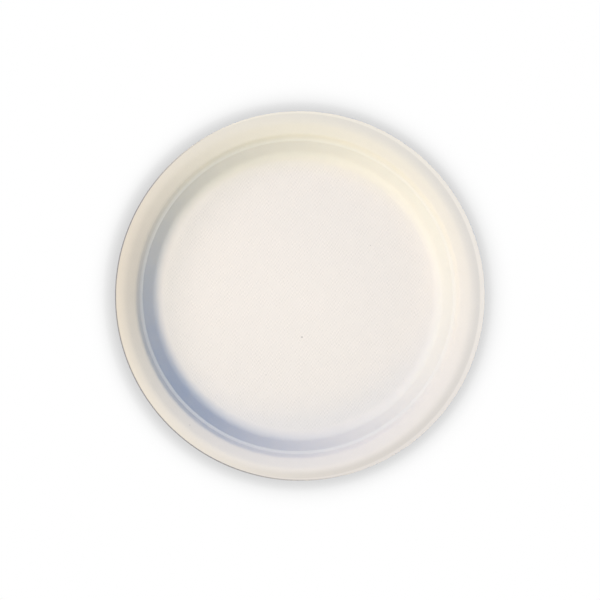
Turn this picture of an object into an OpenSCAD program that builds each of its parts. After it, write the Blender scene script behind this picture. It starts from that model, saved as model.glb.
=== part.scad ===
// Round plate of moulded plant fibre, in millimetres, standing on a table at z = 0.
// One even sheet follows a revolved section: flat floor, steep wall, narrow sloping ledge
// for stacking, short riser, rising rim, level crown, slightly falling edge and a flat lip.
// The round die that trims the sheet sits a little off the moulded axis, so the lip
// is wide on the +X side and almost gone on the -X side.

/* [Plate] */
// Diameter across the trimmed edge
plate_d = 228; // [180:1:262]
// Height from the table to the crown of the rim
plate_h = 20.5; // [16:0.5:24]
// Thickness of the fibre sheet
sheet_t = 0.7; // [0.5:0.05:0.9]

/* [Well] */
// Slope of the side wall, in degrees from the table
wall_slope = 64; // [50:1:75]
// Radius of the bend between the floor and the wall
floor_bend = 8; // [2:0.5:12]

/* [Stacking step] */
// Width of the ledge at the top of the wall, seen from above
ledge_w = 1.7; // [1.2:0.1:4]
// Slope of the ledge, in degrees from the table
ledge_slope = 34; // [10:1:40]
// Height of the riser between the ledge and the rim
riser_h = 2.6; // [1.5:0.1:4]
// Slope of the riser, in degrees from the table
riser_slope = 53; // [45:1:70]
// Radius of the tight bends on both sides of the ledge
step_bend = 1; // [0.6:0.1:1.4]

/* [Rim] */
// Width of the rising part of the rim
rim_w = 6.3; // [5:0.1:14]
// Slope of the rising part of the rim, in degrees from the table
rim_slope = 19; // [8:1:24]
// Radius of the bend between the riser and the rim
shoulder_bend = 3; // [1:0.5:4]
// Width of the level crown
crown_w = 3.4; // [3:0.1:8]
// Radius of the bend between the rising rim and the crown
crown_bend = 10; // [6:1:24]

/* [Edge] */
// Width of the edge that falls from the crown to the lip
edge_w = 2.4; // [1.5:0.1:4]
// Slope of the falling edge, in degrees from the table
edge_slope = 7; // [3:1:20]
// Radius of the bend between the crown and the falling edge
edge_bend = 14; // [6:1:20]
// Radius of the bend between the falling edge and the lip
foot_bend = 6; // [3:1:12]
// Mean width of the flat lip, from the foot of the falling edge to the trim
lip_w = 1.6; // [1:0.1:4]
// Distance that the trimming die sits off the moulded axis
trim_shift = 1.4; // [0:0.1:3]

/* [Hidden] */
fibre = [0.93, 0.90, 0.84];

// Largest turn of one straight stretch inside a bend, in degrees
bend_step = 6;
// Share of a straight stretch that the bend at either end of it may use
bend_share = 0.49;
// Sides of the circles where the section is drawn as a mesh
round_sides = 240;
// Overlap of the trimming die past what it cuts
die_margin = 2;

// Heights of the sheet's middle line, from the table up
floor_z = sheet_t / 2;
crown_z = plate_h - sheet_t / 2;
lip_z = crown_z - edge_w * tan(edge_slope);
rim_z = crown_z - rim_w * tan(rim_slope);
ledge_z = rim_z - riser_h;
wall_z = ledge_z - ledge_w * tan(ledge_slope);

// Radii of the corners of the middle line, from the trim inwards
foot_r = plate_d / 2 - lip_w;
edge_r = foot_r - edge_w;
crown_r = edge_r - crown_w;
rim_r = crown_r - rim_w;
ledge_r = rim_r - riser_h / tan(riser_slope);
wall_r = ledge_r - ledge_w;
floor_r = wall_r - (wall_z - floor_z) / tan(wall_slope);
blank_r = plate_d / 2 + trim_shift + die_margin;

// Corners of the middle line as [radius, height], and the bend at each inner one
corners = [
    [0, floor_z],
    [floor_r, floor_z],
    [wall_r, wall_z],
    [ledge_r, ledge_z],
    [rim_r, rim_z],
    [crown_r, crown_z],
    [edge_r, crown_z],
    [foot_r, lip_z],
    [blank_r, lip_z],
];
bends = [floor_bend, step_bend, step_bend, shoulder_bend, crown_bend, edge_bend, foot_bend];

function direction(from, to) = (to - from) / norm(to - from);
function normal(along) = [-along.y, along.x];
function turned(v, a) = [v.x * cos(a) - v.y * sin(a), v.x * sin(a) + v.y * cos(a)];

// A rounded corner at b, as pairs of a point on the middle line and its upward normal
function bend(a, b, c, radius) =
    let (
        before = direction(a, b),
        after = direction(b, c),
        turn = atan2(normal(before) * after, before * after),
        room = bend_share * min(norm(b - a), norm(c - b)),
        run = min(radius * tan(abs(turn) / 2), room),
        r = run / tan(turn / 2),
        centre = b - run * before + r * normal(before),
        steps = ceil(abs(turn) / bend_step)
    )
    [
        for (i = [0:steps])
        let (up = turned(normal(before), turn * i / steps))
        [centre - r * up, up]
    ];

up = [0, 1];
middle = concat(
    [[corners[0], up]],
    [
        for (i = [0:len(bends) - 1])
        each bend(corners[i], corners[i + 1], corners[i + 2], bends[i])
    ],
    [[corners[len(corners) - 1], up]]
);

// The sheet's section: the middle line moved half a thickness up, then down
module sheet_section() {
    top = [for (m = middle) m[0] + m[1] * sheet_t / 2];
    bottom = [for (i = [len(middle) - 1:-1:0]) middle[i][0] - middle[i][1] * sheet_t / 2];
    polygon(concat(top, bottom));
}

// The moulded sheet before it is trimmed, turned about its own axis
module blank() {
    translate([-trim_shift, 0, 0])
        rotate_extrude($fn = round_sides)
            sheet_section();
}

// The round die that cuts the plate out, on the plate's own centre
module trim_die() {
    translate([0, 0, -die_margin])
        cylinder(d = plate_d, h = plate_h + 2 * die_margin, $fn = round_sides);
}

module plate() {
    color(fibre)
        intersection() {
            blank();
            trim_die();
        }
}

plate();
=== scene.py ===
# A round disposable plate of moulded plant fibre, seen from straight above on a white table.
import math

import bpy
import numpy as np
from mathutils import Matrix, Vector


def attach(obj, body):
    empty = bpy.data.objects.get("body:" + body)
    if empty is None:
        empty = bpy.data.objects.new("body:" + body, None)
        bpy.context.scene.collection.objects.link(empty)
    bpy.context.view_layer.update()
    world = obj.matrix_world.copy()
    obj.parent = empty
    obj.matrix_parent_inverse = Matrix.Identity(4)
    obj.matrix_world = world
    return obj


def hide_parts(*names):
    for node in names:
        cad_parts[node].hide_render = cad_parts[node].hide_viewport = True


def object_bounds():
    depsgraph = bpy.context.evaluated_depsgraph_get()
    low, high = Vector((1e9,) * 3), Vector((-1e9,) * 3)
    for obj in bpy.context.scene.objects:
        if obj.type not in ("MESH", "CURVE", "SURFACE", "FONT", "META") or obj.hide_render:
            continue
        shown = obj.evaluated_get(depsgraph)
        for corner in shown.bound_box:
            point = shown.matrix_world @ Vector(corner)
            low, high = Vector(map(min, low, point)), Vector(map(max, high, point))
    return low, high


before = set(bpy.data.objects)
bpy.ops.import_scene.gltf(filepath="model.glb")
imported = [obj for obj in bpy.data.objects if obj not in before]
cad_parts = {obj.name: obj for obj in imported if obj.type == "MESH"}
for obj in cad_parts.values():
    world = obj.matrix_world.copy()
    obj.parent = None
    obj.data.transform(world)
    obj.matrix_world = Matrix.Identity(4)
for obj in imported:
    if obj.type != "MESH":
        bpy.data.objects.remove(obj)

MM = 0.001
CAD_LOW, CAD_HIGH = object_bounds()

# Sizes of the sheet in millimetres, as the solid has them
PLATE_D = (CAD_HIGH.x - CAD_LOW.x) / MM
PLATE_H = (CAD_HIGH.z - CAD_LOW.z) / MM
SHEET_T = 0.7
WALL_SLOPE = math.radians(64)
FLOOR_BEND = 8.0
LEDGE_W = 1.7
LEDGE_SLOPE = math.radians(34)
RISER_H = 2.6
RISER_SLOPE = math.radians(53)
STEP_BEND = 1.0
RIM_W = 6.3
RIM_SLOPE = math.radians(19)
SHOULDER_BEND = 3.0
CROWN_W = 3.4
CROWN_BEND = 10.0
EDGE_W = 2.4
EDGE_SLOPE = math.radians(7)
EDGE_BEND = 14.0
FOOT_BEND = 6.0
LIP_W = 1.6
TRIM_SHIFT = 1.4

# Heights and radii of the corners of the sheet's middle line
FLOOR_Z = SHEET_T / 2
CROWN_Z = PLATE_H - SHEET_T / 2
LIP_Z = CROWN_Z - EDGE_W * math.tan(EDGE_SLOPE)
RIM_Z = CROWN_Z - RIM_W * math.tan(RIM_SLOPE)
LEDGE_Z = RIM_Z - RISER_H
WALL_Z = LEDGE_Z - LEDGE_W * math.tan(LEDGE_SLOPE)
TRIM_R = PLATE_D / 2
FOOT_R = TRIM_R - LIP_W
EDGE_R = FOOT_R - EDGE_W
CROWN_R = EDGE_R - CROWN_W
RIM_R = CROWN_R - RIM_W
LEDGE_R = RIM_R - RISER_H / math.tan(RISER_SLOPE)
WALL_R = LEDGE_R - LEDGE_W
FLOOR_R = WALL_R - (WALL_Z - FLOOR_Z) / math.tan(WALL_SLOPE)
BLANK_R = TRIM_R + TRIM_SHIFT

# The picture's frame in pixels, and where the trimmed edge's middle and radius lie in it
FRAME_PX = 600
PLATE_AT_PX = (299.9, 295.9)
PLATE_RADIUS_PX = 184.85

# The camera's sensor, and its height over the lip, in millimetres
SENSOR = 36.0
CAMERA_ABOVE_LIP = 720.0

# Fineness of the visible mesh, and the fold past which it shows a crisp edge
SECTORS = 288
BEND_STEP = math.radians(5)
LONGEST_STEP = 2.5
CRISP_FOLD = math.radians(50)

# Radius past which the mesh's rings draw in to the off-centre trim
DRAWN_IN_FROM = FOOT_R - LIP_W / 2

# The cut edge: how far it is rounded over and how deep it frays, in millimetres, the seed of
# that fraying, and how deep the mesh's rings lie on it as shares of the sheet
EDGE_ROUND = 0.12
EDGE_FRAY = 0.04
FRAY_SEED = 7
EDGE_RINGS = (0.2, 0.5, 0.8)

# The slight unevenness that drying leaves in the sheet, as heights in millimetres
RIM_WAVE = 0.12
FLOOR_WAVE = 0.05

# Swells of the rim, as times round the plate, start and share, and of the floor along X and
# along Y, as millimetres to the radian and start
RIM_SWELLS = ((2, 0.6, 1.0), (3, 2.1, 0.6), (7, 4.0, 0.4))
FLOOR_SWELL_X = (13, 0.4)
FLOOR_SWELL_Y = (17, 1.1)

# How far the stacking step is left less crisp on one side, as a height in millimetres, on
# which side, and how narrow that side is
STEP_SOFT = 0.5
STEP_SOFT_AT = math.radians(158)
STEP_SOFT_NARROW = 2


def middle_line():
    """Points and upward normals of the sheet's middle line, from the axis to past the trim."""
    corners = np.array([
        (0, FLOOR_Z),
        (FLOOR_R, FLOOR_Z),
        (WALL_R, WALL_Z),
        (LEDGE_R, LEDGE_Z),
        (RIM_R, RIM_Z),
        (CROWN_R, CROWN_Z),
        (EDGE_R, CROWN_Z),
        (FOOT_R, LIP_Z),
        (BLANK_R + LIP_W, LIP_Z),
    ])
    bends = (FLOOR_BEND, STEP_BEND, STEP_BEND, SHOULDER_BEND, CROWN_BEND, EDGE_BEND, FOOT_BEND)
    points, ups = [corners[0]], [np.array((0.0, 1.0))]
    for a, b, c, radius in zip(corners, corners[1:], corners[2:], bends):
        before = (b - a) / np.linalg.norm(b - a)
        after = (c - b) / np.linalg.norm(c - b)
        first_up = np.array((-before[1], before[0]))
        turn = math.atan2(first_up @ after, before @ after)
        run = radius * math.tan(abs(turn) / 2)
        signed = run / math.tan(turn / 2)
        centre = b - run * before + signed * first_up
        steps = math.ceil(abs(turn) / BEND_STEP)
        for angle in np.linspace(0, turn, steps + 1):
            up = first_up * math.cos(angle) - before * math.sin(angle)
            points.append(centre - signed * up)
            ups.append(up)
    points.append(corners[-1])
    ups.append(ups[0])
    return np.array(points), np.array(ups)


def with_short_steps(radii, heights):
    """The same outline with extra points where two lie far apart."""
    out = []
    for k in range(len(radii) - 1):
        length = math.hypot(radii[k + 1] - radii[k], heights[k + 1] - heights[k])
        pieces = max(1, math.ceil(length / LONGEST_STEP))
        for share in np.arange(pieces) / pieces:
            out.append((
                radii[k] + share * (radii[k + 1] - radii[k]),
                heights[k] + share * (heights[k + 1] - heights[k]),
            ))
    out.append((radii[-1], heights[-1]))
    return np.array(out).T


def sheet_rings(facing, trim):
    """Radii and heights of one face of the sheet, ring by ring, drawn in to the trim at the lip."""
    points, ups = middle_line()
    face = points + facing * ups * SHEET_T / 2
    radii, heights = with_short_steps(*face.T)
    rings = []
    for radius in radii[radii <= BLANK_R][1:]:
        past = max(0.0, radius - DRAWN_IN_FROM) / (BLANK_R - DRAWN_IN_FROM)
        ring_r = np.where(past > 0, DRAWN_IN_FROM + past * (trim - DRAWN_IN_FROM), radius)
        rings.append((ring_r, np.interp(ring_r, radii, heights)))
    rings.append((trim, np.interp(trim, radii, heights)))
    return rings


def unevenness(radius, angle):
    """Height that the sheet strays from its mould, in millimetres, never below the table."""
    swell = sum(share * np.sin(times * angle + start) for times, start, share in RIM_SWELLS)
    swell = swell / sum(share for _, _, share in RIM_SWELLS)
    rim = RIM_WAVE * swell * np.clip((radius - WALL_R) / (CROWN_R - WALL_R), 0, 1)

    (x_length, x_start), (y_length, y_start) = FLOOR_SWELL_X, FLOOR_SWELL_Y
    x, y = radius * np.cos(angle), radius * np.sin(angle)
    hump = (1 + np.sin(x / x_length + x_start) * np.sin(y / y_length + y_start)) / 2
    floor = FLOOR_WAVE * hump * np.clip((FLOOR_R - radius) / FLOOR_BEND, 0, 1)

    soft_side = ((1 + np.cos(angle - STEP_SOFT_AT)) / 2) ** STEP_SOFT_NARROW
    step = STEP_SOFT * soft_side * np.interp(radius, (WALL_R, LEDGE_R, RIM_R), (0, 1, 0))
    return rim + floor + step


def shell_mesh(name):
    """The whole sheet as one closed mesh: upper face, cut edge and underside."""
    angles = np.arange(SECTORS) * 2 * math.pi / SECTORS
    trim = TRIM_SHIFT * np.cos(angles) + np.sqrt(TRIM_R**2 - (TRIM_SHIFT * np.sin(angles)) ** 2)
    upper = sheet_rings(1, trim - EDGE_ROUND)
    under = sheet_rings(-1, trim - EDGE_ROUND)
    fray = EDGE_FRAY * np.random.default_rng(FRAY_SEED).uniform(-1, 0, SECTORS)
    edge = []
    for deep in EDGE_RINGS:
        edge.append((trim + fray, upper[-1][1] + deep * (under[-1][1] - upper[-1][1])))
    loops = upper + edge + under[::-1]
    first_under = len(upper) + len(edge)

    vertices = [(-TRIM_SHIFT, 0, SHEET_T)]
    for radius, height in loops:
        lifted = height + unevenness(radius, angles)
        x = radius * np.cos(angles) - TRIM_SHIFT
        vertices.extend(zip(x, radius * np.sin(angles), lifted))
    vertices.append((-TRIM_SHIFT, 0, 0))

    faces, sides = [], []
    last = len(vertices) - 1
    end = 1 + (len(loops) - 1) * SECTORS
    for k in range(SECTORS):
        n = (k + 1) % SECTORS
        faces.append((0, 1 + k, 1 + n))
        sides.append(0)
        for ring in range(len(loops) - 1):
            here, there = 1 + ring * SECTORS, 1 + (ring + 1) * SECTORS
            faces.append((here + k, there + k, there + n, here + n))
            sides.append(int(ring >= first_under))
        faces.append((end + k, last, end + n))
        sides.append(1)

    mesh = bpy.data.meshes.new(name)
    mesh.from_pydata((np.array(vertices) * MM).tolist(), [], faces)
    mesh.materials.append(moulded_fibre("fibre_upper", UPPER_IMPRINT))
    mesh.materials.append(moulded_fibre("fibre_under", UNDER_IMPRINT))
    mesh.polygons.foreach_set("material_index", sides)
    mesh.shade_smooth()
    mesh.set_sharp_from_angle(angle=CRISP_FOLD)
    mesh.validate()
    return mesh


class Wire:
    """A shader socket whose arithmetic adds Math nodes."""

    def __init__(self, shader, socket):
        self.shader, self.socket = shader, socket

    def maths(self, operation, *values):
        inputs = dict(enumerate(values))
        return self.shader.node("ShaderNodeMath", {"operation": operation}, inputs)

    def __add__(self, other):
        return self.maths("ADD", self, other)

    def __sub__(self, other):
        return self.maths("SUBTRACT", self, other)

    def __rsub__(self, other):
        return self.maths("SUBTRACT", other, self)

    def __mul__(self, other):
        return self.maths("MULTIPLY", self, other)

    def __truediv__(self, other):
        return self.maths("DIVIDE", self, other)

    def __pow__(self, other):
        return self.maths("POWER", self, other)

    __radd__ = __add__
    __rmul__ = __mul__

    def sine(self):
        return self.maths("SINE", self)

    def root(self):
        return self.maths("SQRT", self)

    def step(self, low, high):
        """0 below low, 1 above high, smooth between; high may be the lower one."""
        if low > high:
            return 1 - self.step(high, low)
        inputs = {"Value": self, "From Min": low, "From Max": high}
        return self.shader.node("ShaderNodeMapRange", {"interpolation_type": "SMOOTHSTEP"}, inputs)


class Shader:
    """The node tree of a material or world, built one node at a time."""

    def __init__(self, name, kept_in=bpy.data.materials, output="ShaderNodeOutputMaterial"):
        self.owner = kept_in.new(name)
        self.owner.use_nodes = True
        self.tree = self.owner.node_tree
        self.tree.nodes.clear()
        self.output = output

    def node(self, kind, settings, inputs, output=0):
        """A new node with its settings first, then the value or link of each socket."""
        made = self.tree.nodes.new(kind)
        for name, value in settings.items():
            setattr(made, name, value)
        for key, value in inputs.items():
            if isinstance(value, Wire):
                self.tree.links.new(value.socket, made.inputs[key])
            else:
                made.inputs[key].default_value = value
        return Wire(self, made.outputs[output])

    def place(self):
        """Where a point lies in its object, in millimetres."""
        metres = self.node("ShaderNodeTexCoord", {}, {}, "Object")
        return self.node("ShaderNodeVectorMath", {"operation": "SCALE"}, {0: metres, "Scale": 1 / MM})

    def parts(self, vector):
        """The first two parts of a vector."""
        return [self.node("ShaderNodeSeparateXYZ", {}, {0: vector}, axis) for axis in "XY"]

    def noise(self, place, size, detail):
        """Soft random values around a half, with spots of about the given size."""
        inputs = {"Vector": place, "Scale": 1 / size, "Detail": detail}
        return self.node("ShaderNodeTexNoise", {}, inputs)

    def mix(self, share, first, second):
        """The first colour where the share is 0, and the second where it is 1."""
        settings = {"data_type": "RGBA", "clamp_factor": True}
        return self.node("ShaderNodeMix", settings, {0: share, 6: first, 7: second}, 2)

    def seen_straight(self):
        """1 where the camera, a reflection or a look through glass meets the surface."""
        rays = ("Is Camera Ray", "Is Glossy Ray", "Is Transmission Ray")
        return sum(self.node("ShaderNodeLightPath", {}, {}, ray) for ray in rays)

    def finish(self, surface):
        """Ends the tree with the given surface and hands over what it belongs to."""
        end = self.tree.nodes.new(self.output)
        self.tree.links.new(surface.socket, end.inputs["Surface"])
        return self.owner


# Radius in millimetres within which the plate's middle faces no side
NO_SIDE_R = 1.0


def away(x, y):
    """How far a point is from where x and y are 0."""
    return (x * x + y * y).root()


def side(x, y, compass, narrow=1):
    """1 on the side that faces the compass angle, falling to 0 on the far side.

    Compass angles, here and for the lamps, are degrees anticlockwise from +X.
    """
    angle = math.radians(compass)
    lean = (x * math.cos(angle) + y * math.sin(angle)) / (x * x + y * y + NO_SIDE_R**2).root()
    return (0.5 * lean + 0.5) ** narrow


# Colours of the pulp, in linear light: the floor's middle, its border, the wall and the rim; the
# border's darker colour is painted shade, light falling off from the middle towards the wall
MIDDLE_PULP = (0.925, 0.834, 0.757, 1)
SHADED_BORDER_PULP = (0.815, 0.753, 0.705, 1)
WALL_PULP = (0.842, 0.791, 0.728, 1)
RIM_PULP = (0.865, 0.78, 0.715, 1)

# Radii between which the floor's colour passes into the wall's, and the wall's into the rim's
FLOOR_TO_WALL = (FLOOR_R - 4, FLOOR_R + 2)
WALL_TO_RIM = (WALL_R - 2, RIM_R + 1)

# The floor's border is painted paler on one side, which is painted light, and the rim is painted
# creamier on one side, a painted warm light, and darker on another, painted shade: the colour
# there, the compass angle, and how narrow that side is
LIT_BORDER_PULP = (0.89, 0.80, 0.725, 1)
LIT_BORDER_SIDE = (158, 4)
WARM_LIT_RIM_PULP = (0.864, 0.777, 0.652, 1)
WARM_LIT_RIM_SIDE = (120, 1)
SHADED_RIM_PULP = (0.769, 0.663, 0.544, 1)
SHADED_RIM_SIDE = (170, 6)

# A painted shadow line along the cut edge on one side: its colour, how far in it reaches, where
# it is darkest, and between which shares of that side it sets in
EDGE_SHADOW_PULP = (0.30, 0.275, 0.27, 1)
EDGE_SHADOW_W = 0.95
EDGE_SHADOW_AT = 200
EDGE_SHADOW_SIDE = (0.45, 0.9)

# How much paler the lip is, which the mould presses denser, and the radii where that sets in
PRESSED = 0.085
PRESSED_FROM = (FOOT_R - 0.2, FOOT_R + 0.5)

# How much darker the edge is painted on one side, which is painted shade, on which side, and
# the radii where that sets in
EDGE_SHADE_AMOUNT = 0.15
EDGE_SHADE_SIDE = (287, 5)
EDGE_SHADE_FROM = (CROWN_R, EDGE_R + 1)

# Mottling of the pulp, as the size of its spots in millimetres, their detail and share, the
# shade of its darkest spots, and how much paler the palest are
MOTTLES = ((9.0, 2.0, 0.6), (1.6, 2.0, 0.4))
MOTTLED_FROM = 0.97
MOTTLED_BY = 0.06

# Fibres that stand out of the surface: their size in millimetres, detail and height
FIBRES = (0.7, 3.0)
FIBRE_HEIGHT = 0.02

# Roughness of the pulp, how much the mottling adds to it, and its faint gloss
ROUGHNESS = 0.82
ROUGHER = 0.1
GLOSS = 0.2

# Imprint of the forming mesh: the direction across each set of lines, their spacing and share
MESH_LINES = ((-39.6, 1.71, 1.0), (26.9, 1.21, 0.9), (47.7, 1.98, 0.6))

# On the upper face and on the side that lay on the mesh: depth of the imprint in millimetres,
# how much paler its high spots are painted, standing in for light and shade on that relief, and
# what is left of it past the floor
UPPER_IMPRINT = (0.012, 0.02, 0.12)
UNDER_IMPRINT = (0.05, 0.035, 1.0)

# Radii between which the imprint comes to its full share, from the floor's border inwards
IMPRINT_SETS_IN = (FLOOR_R - 1, FLOOR_R - 10)

# The imprint is fainter and stronger in patches: their size in millimetres and detail, the
# random values between which it goes from none to its strongest, and how strong that is
IMPRINT_PATCHES = (2.5, 1.0)
IMPRINT_GROWS = (0.3, 0.65)
IMPRINT_STRONGEST = 1.6

# How far the mesh's lines stray in millimetres, and the size and detail of their bows
MESH_DRIFT = 2.5
DRIFT_BOWS = (8.0, 1.0)

# How much longer the wall is than it looks from above, because the mesh follows its slope
WALL_EXTRA = (WALL_Z - FLOOR_Z) * (1 / math.sin(WALL_SLOPE) - 1 / math.tan(WALL_SLOPE))

# Dark flecks in the pulp: their colour, where they fade out and where they are full, as shares
# of their size, and for each its place from the plate's centre, its size and its strength
SPECK = (0.30, 0.25, 0.22, 1)
SPECK_FADES = 0.6
SPECK_FULL = 0.2
FLECKS = (
    (1.3, -26.0, 0.9, 1.0),
    (44.7, 32.0, 0.7, 0.5),
    (-21.4, -49.9, 0.7, 0.5),
    (-4.4, 6.1, 0.6, 0.25),
    (30.9, 16.8, 0.6, 0.25),
    (65.5, -53.0, 0.6, 0.25),
    (-67.9, -79.7, 0.8, 0.4),
)


def pulp_tones(shader, x, y, from_axis, radius):
    """Colour of the pulp from the middle of the floor out to the cut edge, with painted light and
    shade.
    """
    # Paler on one side of the floor's border: painted light
    border = shader.mix(side(from_axis, y, *LIT_BORDER_SIDE), SHADED_BORDER_PULP, LIT_BORDER_PULP)
    # The floor darkens from its middle to its border: painted shade
    floor = shader.mix(radius * radius * (1 / FLOOR_R**2), MIDDLE_PULP, border)
    well = shader.mix(radius.step(*FLOOR_TO_WALL), floor, WALL_PULP)
    # Creamier on one side of the rim: painted warm light; darker on another side: painted shade
    rim = shader.mix(side(from_axis, y, *WARM_LIT_RIM_SIDE), RIM_PULP, WARM_LIT_RIM_PULP)
    rim = shader.mix(side(from_axis, y, *SHADED_RIM_SIDE), rim, SHADED_RIM_PULP)
    colour = shader.mix(radius.step(*WALL_TO_RIM), well, rim)
    # A dark line along the cut edge on one side: a painted shadow
    to_edge = TRIM_R - away(x, y)
    edge_shadow = to_edge.step(EDGE_SHADOW_W, EDGE_SHADOW_W / 2)
    edge_shadow = edge_shadow * side(x, y, EDGE_SHADOW_AT).step(*EDGE_SHADOW_SIDE)
    return shader.mix(edge_shadow, colour, EDGE_SHADOW_PULP)


def mesh_imprint(shader, place, x, y, radius, past_floor):
    """Crossing lines that the forming mesh leaves: above 0 on high spots, below 0 in low ones."""
    drift = (shader.noise(place, *DRIFT_BOWS) - 0.5) * MESH_DRIFT
    unrolled = 1 + radius.step(FLOOR_R, WALL_R) * WALL_EXTRA / radius
    lines = []
    for degrees, spacing, share in MESH_LINES:
        angle = math.radians(degrees)
        across = x * math.cos(angle) + y * math.sin(angle)
        lines.append(((across * unrolled + drift) * (2 * math.pi / spacing)).sine() * share)
    kept = radius.step(*IMPRINT_SETS_IN) * (1 - past_floor) + past_floor
    strength = shader.noise(place, *IMPRINT_PATCHES).step(*IMPRINT_GROWS) * IMPRINT_STRONGEST
    return sum(lines) * kept * strength


def moulded_fibre(name, imprint):
    """Off-white pressed pulp: faint mottling, flecks, and the imprint of the forming mesh."""
    shader = Shader(name)
    depth, paler, past_floor = imprint
    place = shader.place()
    x, y = shader.parts(place)
    from_axis = x + TRIM_SHIFT
    radius = away(from_axis, y)

    mesh = mesh_imprint(shader, place, x, y, radius, past_floor)
    mottle = sum(shader.noise(place, size, detail) * share for size, detail, share in MOTTLES)
    pressed = radius.step(*PRESSED_FROM) * PRESSED
    # The edge darker on one side: painted shade
    edge_shade = side(from_axis, y, *EDGE_SHADE_SIDE) * radius.step(*EDGE_SHADE_FROM) * EDGE_SHADE_AMOUNT
    # The imprint's high spots painted paler: painted shading of its relief
    value = (MOTTLED_FROM + MOTTLED_BY * mottle + mesh * paler) * (1 + pressed - edge_shade)
    tones = pulp_tones(shader, x, y, from_axis, radius)
    colour = shader.node("ShaderNodeHueSaturation", {}, {"Value": value, "Color": tones})
    for fleck_x, fleck_y, size, strength in FLECKS:
        off = away(x - fleck_x, y - fleck_y)
        share = off.step(size * SPECK_FADES, size * SPECK_FULL) * strength
        colour = shader.mix(share, colour, SPECK)

    fibres = shader.noise(place, *FIBRES)
    height = mesh * (depth * MM) + fibres * (FIBRE_HEIGHT * MM)
    normal = shader.node("ShaderNodeBump", {}, {"Strength": 1.0, "Distance": 1.0, "Height": height})
    inputs = {
        "Base Color": colour,
        "Roughness": ROUGHNESS + ROUGHER * mottle,
        "Specular IOR Level": GLOSS,
        "Normal": normal,
    }
    return shader.finish(shader.node("ShaderNodeBsdfPrincipled", {}, inputs))


# White as the camera sees it, on the table and all round
WHITE = (1, 1, 1, 1)

# The table: half its width in metres, its gap under the plate in millimetres, and its colour
TABLE_HALF = 3.0
TABLE_GAP = 0.05
TABLE_PALE = (0.8, 0.8, 0.8, 1)

# The soft shadow round the plate: how far off the table feels it, in metres, how steeply it
# darkens, how dark it can be, and how many looks at the sky each point takes
SHADOW_REACH = 0.03
SHADOW_GAIN = 1.69
SHADOW_LOSS = 0.66
SHADOW_DARK = (0.25, 0.25, 0.25, 1)
SHADOW_LOOKS = 32

# Light that the pale lip throws back on the table beside it: how much, and how much of the sky
# is open where it sets in, where it is most and where it ends
LIP_GLOW = 0.09
LIP_GLOW_OPEN = (0.63, 0.69, 0.73)


def white_table():
    """A white table that stays white to the camera and keeps the plate's soft shadow."""
    shader = Shader("white_table")
    lit = shader.node("ShaderNodeBsdfDiffuse", {}, {"Color": TABLE_PALE})
    looks, reach = {"samples": SHADOW_LOOKS}, {"Distance": SHADOW_REACH}
    nearby = shader.node("ShaderNodeAmbientOcclusion", looks, reach, "AO")
    least, most, past = LIP_GLOW_OPEN
    returned = nearby.step(least, most) - nearby.step(most, past)
    open_sky = SHADOW_GAIN * nearby - SHADOW_LOSS + LIP_GLOW * returned
    halo = shader.mix(open_sky, SHADOW_DARK, WHITE)
    glow = shader.node("ShaderNodeEmission", {}, {"Color": halo, "Strength": 1.0})
    surface = shader.node("ShaderNodeMixShader", {}, {0: shader.seen_straight(), 1: lit, 2: glow})
    return shader.finish(surface)


def added(name, data):
    """A new object of the scene that shows the given mesh, lamp or camera."""
    made = bpy.data.objects.new(name, data)
    bpy.context.scene.collection.objects.link(made)
    return made


def plate():
    made = added("fibre_plate", shell_mesh("fibre_plate"))
    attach(made, "root")
    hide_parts("plate")


def table():
    mesh = bpy.data.meshes.new("table_top")
    corners = [(x * TABLE_HALF, y * TABLE_HALF, 0) for x, y in ((-1, -1), (1, -1), (1, 1), (-1, 1))]
    mesh.from_pydata(corners, [], [(0, 1, 2, 3)])
    mesh.materials.append(white_table())
    made = added("table_top", mesh)
    made.location = (0, 0, CAD_LOW.z - TABLE_GAP * MM)


def camera():
    """A camera straight above that puts the trimmed edge where the picture has it."""
    mm_per_px = TRIM_R / PLATE_RADIUS_PX
    data = bpy.data.cameras.new("camera")
    data.sensor_width = SENSOR
    data.lens = SENSOR * CAMERA_ABOVE_LIP / (FRAME_PX * mm_per_px)
    made = added("camera", data)
    off_x = (FRAME_PX / 2 - PLATE_AT_PX[0]) * mm_per_px
    off_y = (PLATE_AT_PX[1] - FRAME_PX / 2) * mm_per_px
    made.location = (off_x * MM, off_y * MM, (CAMERA_ABOVE_LIP + LIP_Z) * MM)
    bpy.context.scene.camera = made


# Soft round lamps: how far away and how wide, in metres, and for each its compass angle,
# elevation, power in watts and colour
LAMP_AWAY = 3.2
LAMP_SIZE = 1.2
LAMPS = {
    "key": (201, 63.5, 75.5, (1.0, 0.93, 0.70)),
    "low_left": (157, 30, 27.0, (1.0, 0.84, 0.75)),
    "front": (285, 32, 21.2, (1.0, 0.71, 0.25)),
    "back": (80, 45, 14.8, (0.25, 0.25, 1.0)),
}

# Light that reaches the plate from all round; the camera sees white there
AROUND = (0.04, 0.183, 0.355, 1)


def lamps():
    for name, (compass, elevation, power, colour) in LAMPS.items():
        data = bpy.data.lights.new(name, "AREA")
        data.shape = "DISK"
        data.size = LAMP_SIZE
        data.energy = power
        data.color = colour
        made = added(name, data)
        turn, tilt = math.radians(compass), math.radians(elevation)
        flat = LAMP_AWAY * math.cos(tilt)
        made.location = (flat * math.cos(turn), flat * math.sin(turn), LAMP_AWAY * math.sin(tilt))
        aim = -made.location.normalized()
        made.rotation_euler = aim.to_track_quat("-Z", "Y").to_euler()


def room():
    """White to the camera, and a cool soft light to the plate."""
    shader = Shader("studio", bpy.data.worlds, "ShaderNodeOutputWorld")
    around = shader.node("ShaderNodeBackground", {}, {"Color": AROUND})
    white = shader.node("ShaderNodeBackground", {}, {"Color": WHITE})
    surface = shader.node("ShaderNodeMixShader", {}, {0: shader.seen_straight(), 1: around, 2: white})
    bpy.context.scene.world = shader.finish(surface)


camera()
plate()
table()
lamps()
room()
bpy.context.scene.view_settings.view_transform = "Standard"
